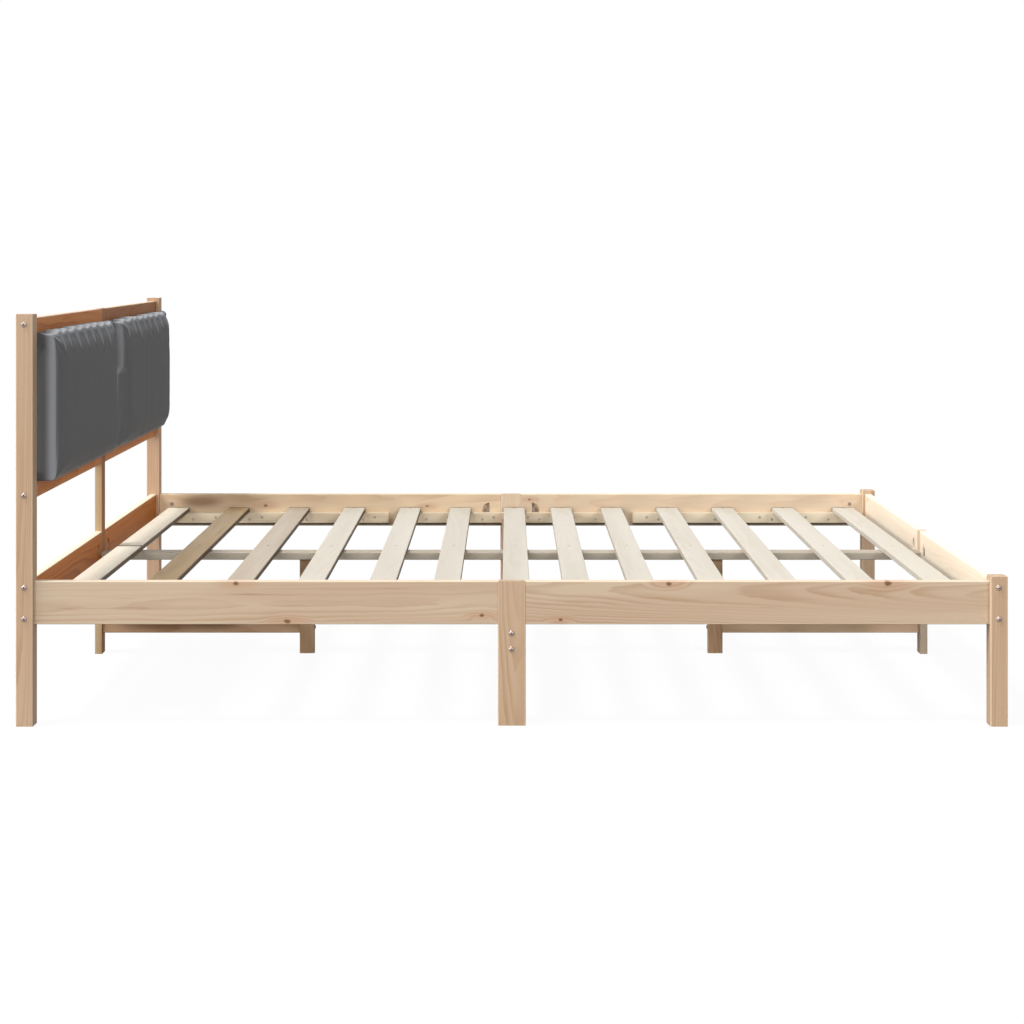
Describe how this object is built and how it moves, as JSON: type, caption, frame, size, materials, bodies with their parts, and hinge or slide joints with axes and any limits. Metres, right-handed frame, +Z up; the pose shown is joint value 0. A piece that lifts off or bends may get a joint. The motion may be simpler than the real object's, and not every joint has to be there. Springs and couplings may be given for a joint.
{
  "type": "double bed frame",
  "caption": "Pine double bed frame: slatted base in split bolted rails on posts and centre legs, with a headboard of padded grey cushions.",
  "frame": {"origin": "on the floor under the middle of the bed", "axes": "+X from the head to the foot, +Y to the left of someone lying in the bed, +Z up"},
  "size_m": [2.0614, 1.4614, 0.854],
  "materials": {
    "pine": "planed pine with a clear matt lacquer",
    "slat_pine": "planed pale pine, bare",
    "beech": "fluted beech dowel",
    "plywood": "sanded plywood",
    "cushion_fabric": "dark grey woven polyester with a short nap",
    "cushion_foam": "open-cell foam",
    "zinc_steel": "zinc-plated steel"
  },
  "bodies": {
    "root": {"barrel_nuts": "zinc_steel", "centre_beam_foot": "pine", "centre_beam_head": "pine", "centre_leg_foot": "pine", "centre_leg_head": "pine", "centre_stretcher_foot": "pine", "centre_stretcher_head": "pine", "cross_beam": "pine", "cross_beam_cap": "pine", "cushion_board_left": "plywood", "cushion_board_right": "plywood", "cushion_cover_left": "cushion_fabric", "cushion_cover_right": "cushion_fabric", "cushion_foam_left": "cushion_foam", "cushion_foam_right": "cushion_foam", "dowels": "beech", "foot_centre_leg": "pine", "foot_post_left": "pine", "foot_post_right": "pine", "foot_rail_left": "pine", "foot_rail_right": "pine", "frame_bolts": "zinc_steel", "half_moon_nuts": "zinc_steel", "head_centre_post": "pine", "head_post_left": "pine", "head_post_right": "pine", "head_rail_left": "pine", "head_rail_right": "pine", "headboard_lower_rail_left": "pine", "headboard_lower_rail_right": "pine", "headboard_top_rail_left": "pine", "headboard_top_rail_right": "pine", "joint_rods": "zinc_steel", "mid_leg_left": "pine", "mid_leg_right": "pine", "side_rail_left_foot": "pine", "side_rail_left_head": "pine", "side_rail_right_foot": "pine", "side_rail_right_head": "pine", "slat_01_left": "slat_pine", "slat_01_right": "slat_pine", "slat_02": "slat_pine", "slat_03": "slat_pine", "slat_04": "slat_pine", "slat_05": "slat_pine", "slat_06": "slat_pine", "slat_07": "slat_pine", "slat_08": "slat_pine", "slat_09": "slat_pine", "slat_10": "slat_pine", "slat_11": "slat_pine", "slat_12": "slat_pine", "slat_13": "slat_pine", "slat_ledger_left_foot": "pine", "slat_ledger_left_head": "pine", "slat_ledger_left_mid": "pine", "slat_ledger_right_foot": "pine", "slat_ledger_right_head": "pine", "slat_ledger_right_mid": "pine", "wood_screws": "zinc_steel"}
  },
  "joints": []
}
